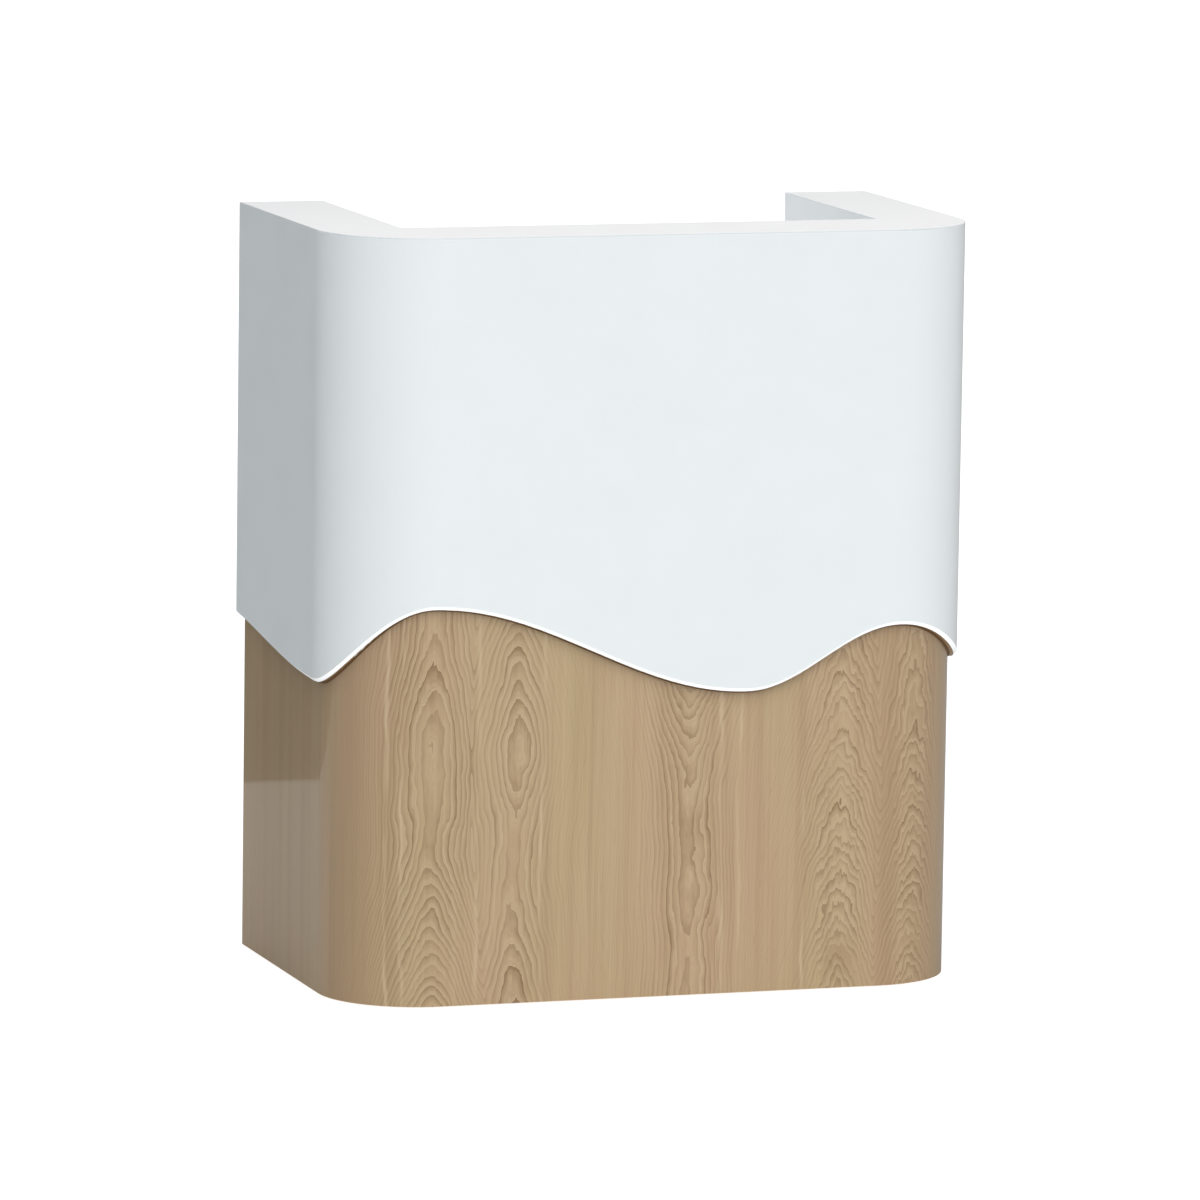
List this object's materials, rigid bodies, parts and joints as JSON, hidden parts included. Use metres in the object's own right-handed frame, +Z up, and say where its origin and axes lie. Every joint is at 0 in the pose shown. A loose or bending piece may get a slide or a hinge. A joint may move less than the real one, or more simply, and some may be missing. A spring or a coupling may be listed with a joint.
{
  "type": "checkout counter",
  "caption": "Compact U-shaped checkout counter with rounded front corners, a white lacquered shell ending in a wave over wood veneer, and drawers and a cupboard on the staff side.",
  "frame": {"origin": "on the floor, in the middle of the counter's footprint", "axes": "+Z up; -Y is the customer's side and +Y the staff's side; +X is to the right of a customer who faces the counter"},
  "size_m": [0.88, 0.5, 1],
  "materials": {
    "white_lacquer": "white satin lacquer over fibreboard",
    "ash_veneer": "pale ash veneer, vertical cathedral grain, clear satin lacquer",
    "birch_plywood": "birch plywood, clear lacquer",
    "white_board": "white melamine faced board with matching edge band",
    "zinc_steel": "bright zinc plated",
    "satin_nickel": "satin nickel",
    "lock_chrome": "polished chrome",
    "grey_plastic": "moulded grey plastic",
    "glide_plastic": "black slider pads"
  },
  "bodies": {
    "counter": {"white_shell": "white_lacquer", "wood_skin": "ash_veneer", "top_ledge": "white_lacquer", "base_former": "birch_plywood", "rib_formers": "birch_plywood", "front_liner": "white_lacquer", "left_liner": "white_lacquer", "right_liner": "white_lacquer", "left_end_panel": "white_lacquer", "right_end_panel": "white_lacquer", "worktop": "white_board", "worktop_cleats": "birch_plywood", "cleat_screws": "zinc_steel", "cupboard_floor": "white_board", "cupboard_rail": "white_board", "drawer_divider": "white_board", "kick_board": "white_board", "shelf": "white_board", "shelf_pegs": "zinc_steel", "grommet_ring": "grey_plastic", "base_glides": "glide_plastic", "runner_outers": "zinc_steel", "hinge_fixed_leaves": "satin_nickel", "hinge_pins": "satin_nickel", "door_catches": "grey_plastic"},
    "grommet_cap": {"grommet_cap": "grey_plastic"},
    "left_drawer": {"left_drawer_front": "white_board", "left_drawer_sides": "birch_plywood", "left_drawer_box_front": "birch_plywood", "left_drawer_box_back": "birch_plywood", "left_drawer_bottom": "white_board", "left_drawer_pull": "satin_nickel", "left_drawer_screws": "zinc_steel", "left_runner_inners": "zinc_steel", "drawer_lock_body": "lock_chrome"},
    "left_runner": {"left_runner_middles": "zinc_steel"},
    "left_door": {"left_door": "white_board", "left_door_hinge_leaves": "satin_nickel", "left_door_pull": "satin_nickel", "left_door_screws": "zinc_steel", "left_door_strike": "zinc_steel"},
    "right_drawer": {"right_drawer_front": "white_board", "right_drawer_sides": "birch_plywood", "right_drawer_box_front": "birch_plywood", "right_drawer_box_back": "birch_plywood", "right_drawer_bottom": "white_board", "right_drawer_pull": "satin_nickel", "right_drawer_screws": "zinc_steel", "right_runner_inners": "zinc_steel"},
    "right_runner": {"right_runner_middles": "zinc_steel"},
    "right_door": {"right_door": "white_board", "right_door_hinge_leaves": "satin_nickel", "right_door_pull": "satin_nickel", "right_door_screws": "zinc_steel", "right_door_strike": "zinc_steel", "door_lock_body": "lock_chrome"},
    "drawer_lock": {"drawer_lock_plug": "lock_chrome", "drawer_lock_cam": "zinc_steel"},
    "door_lock": {"door_lock_plug": "lock_chrome", "door_lock_cam": "zinc_steel"}
  },
  "joints": [
    {"name": "grommet_cap_turn", "type": "hinge", "parent": "counter", "child": "grommet_cap", "pos_m": [-0.21, -0.066, 0.75], "axis": [0, 0, 1], "continuous": true},
    {"name": "left_drawer_slide", "type": "slide", "parent": "counter", "child": "left_drawer", "axis": [0, 1, 0], "range_m": [0, 0.22]},
    {"name": "left_runner_slide", "type": "slide", "parent": "counter", "child": "left_runner", "axis": [0, 1, 0], "range_m": [0, 0.11]},
    {"name": "left_door_swing", "type": "hinge", "parent": "counter", "child": "left_door", "pos_m": [-0.3217, 0.2253, 0.333], "axis": [0, 0, 1], "range_deg": [0, 100]},
    {"name": "right_drawer_slide", "type": "slide", "parent": "counter", "child": "right_drawer", "axis": [0, 1, 0], "range_m": [0, 0.22]},
    {"name": "right_runner_slide", "type": "slide", "parent": "counter", "child": "right_runner", "axis": [0, 1, 0], "range_m": [0, 0.11]},
    {"name": "right_door_swing", "type": "hinge", "parent": "counter", "child": "right_door", "pos_m": [0.3217, 0.2253, 0.333], "axis": [0, 0, -1], "range_deg": [0, 100]},
    {"name": "drawer_lock_turn", "type": "hinge", "parent": "left_drawer", "child": "drawer_lock", "pos_m": [-0.1625, 0.2, 0.707], "axis": [0, 1, 0], "range_deg": [0, 90]},
    {"name": "door_lock_turn", "type": "hinge", "parent": "right_door", "child": "door_lock", "pos_m": [0.0395, 0.2, 0.557], "axis": [0, -1, 0], "range_deg": [0, 90]}
  ],
  "couplings": [
    {"joint": "left_runner_slide", "follows": "left_drawer_slide", "ratio": 0.5},
    {"joint": "right_runner_slide", "follows": "right_drawer_slide", "ratio": 0.5}
  ]
}
